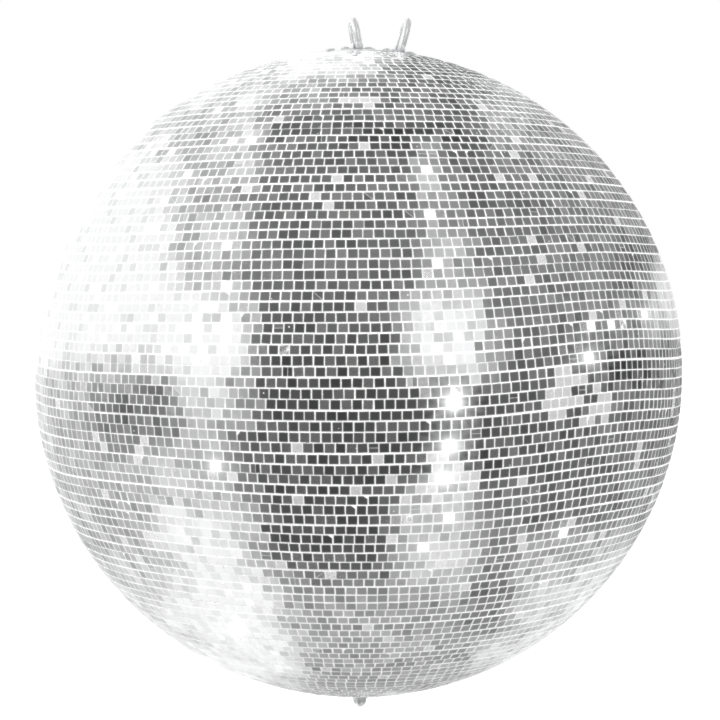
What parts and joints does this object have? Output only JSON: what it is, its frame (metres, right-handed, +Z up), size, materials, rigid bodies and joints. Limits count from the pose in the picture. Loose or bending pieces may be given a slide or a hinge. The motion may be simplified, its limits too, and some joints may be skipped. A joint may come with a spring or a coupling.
{
  "type": "mirror ball",
  "caption": "Large mirror ball of level rows of square glass facets, with two swinging suspension loops on its crown and a domed nut below.",
  "frame": {"origin": "centre of the ball", "axes": "+Z up along the tie rod towards the loops, +X from the main loop towards the safety loop, foot bars of both loops along Y"},
  "size_m": [0.7488, 0.7488, 0.8094],
  "materials": {
    "mirror": "silvered glass facets",
    "shell": "white moulded shell",
    "plate": "plated steel",
    "bright": "bright plated",
    "zinc": "zinc plated"
  },
  "bodies": {
    "ball": {"mirror_rows_01": "mirror", "mirror_rows_02": "mirror", "mirror_rows_03": "mirror", "mirror_rows_04": "mirror", "mirror_rows_05": "mirror", "mirror_rows_06": "mirror", "mirror_rows_07": "mirror", "mirror_rows_08": "mirror", "mirror_rows_09": "mirror", "mirror_rows_10": "mirror", "mirror_rows_11": "mirror", "mirror_rows_12": "mirror", "mirror_rows_13": "mirror", "mirror_rows_14": "mirror", "mirror_rows_15": "mirror", "mirror_rows_16": "mirror", "mirror_rows_17": "mirror", "mirror_rows_18": "mirror", "mirror_rows_19": "mirror", "mirror_rows_20": "mirror", "upper_shell": "shell", "lower_shell": "shell", "splice_ring": "shell", "crown_plate": "plate", "main_saddle": "plate", "safety_saddle": "plate", "base_collar": "plate", "base_cap_nut": "bright", "crown_backing": "zinc", "base_backing": "zinc", "tie_rod": "zinc", "crown_1_bolt": "zinc", "crown_1_nut": "zinc", "crown_2_bolt": "zinc", "crown_2_nut": "zinc", "crown_3_bolt": "zinc", "crown_3_nut": "zinc", "crown_4_bolt": "zinc", "crown_4_nut": "zinc", "main_saddle_left_bolt": "zinc", "main_saddle_left_nut": "zinc", "main_saddle_right_bolt": "zinc", "main_saddle_right_nut": "zinc", "safety_saddle_left_bolt": "zinc", "safety_saddle_left_nut": "zinc", "safety_saddle_right_bolt": "zinc", "safety_saddle_right_nut": "zinc"},
    "main_loop": {"main_loop": "bright"},
    "safety_loop": {"safety_loop": "bright"}
  },
  "joints": [
    {"name": "main_loop_swing", "type": "hinge", "parent": "ball", "child": "main_loop", "pos_m": [0, 0, 0.3796], "axis": [0, 1, 0], "range_deg": [-75, 50]},
    {"name": "safety_loop_swing", "type": "hinge", "parent": "ball", "child": "safety_loop", "pos_m": [0.0495, 0, 0.37636], "axis": [0, 1, 0], "range_deg": [-45, 70]}
  ]
}
